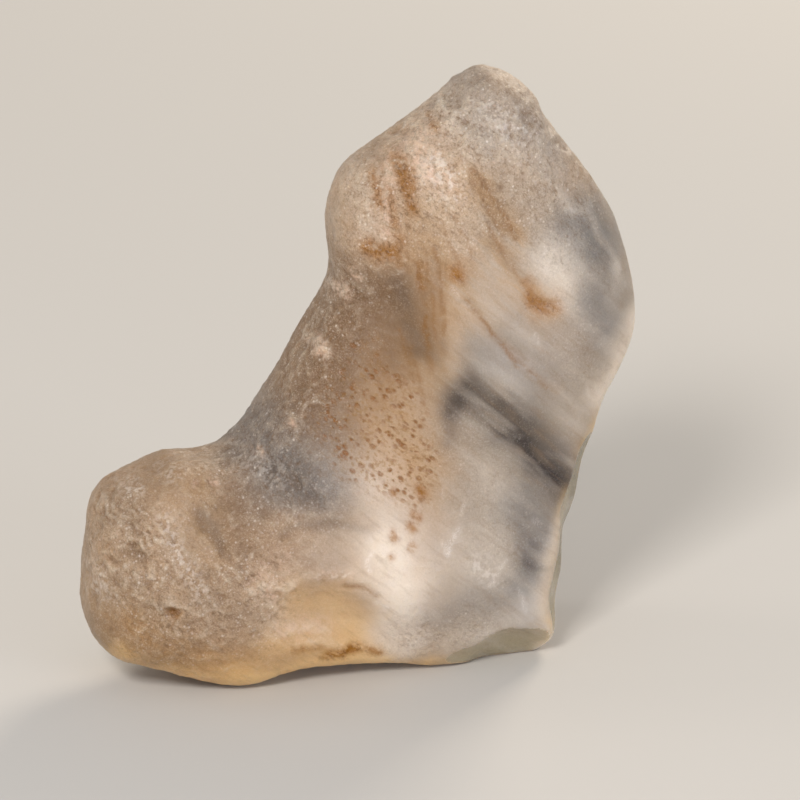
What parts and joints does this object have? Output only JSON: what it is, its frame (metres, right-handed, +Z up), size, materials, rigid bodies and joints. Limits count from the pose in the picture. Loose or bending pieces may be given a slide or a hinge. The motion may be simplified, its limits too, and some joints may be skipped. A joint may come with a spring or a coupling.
{
  "type": "libyan desert glass",
  "caption": "Boot-shaped lump of frosted, translucent natural desert glass with worn scoops and flake scars, standing on a flat-worn sole",
  "frame": {"origin": "centre of the bounding box in plan, on the surface that the stone stands on", "axes": "+X runs along the broad face from the toe to the heel, -Y is the broad face that is shown, +Z is up"},
  "size_m": [0.0506, 0.0194, 0.0532],
  "materials": {
    "desert_glass": "sand-frosted natural silica glass, cloudy warm grey with cream veils and rust-brown specks"
  },
  "bodies": {
    "root": {"desert_glass": "desert_glass"}
  },
  "joints": []
}
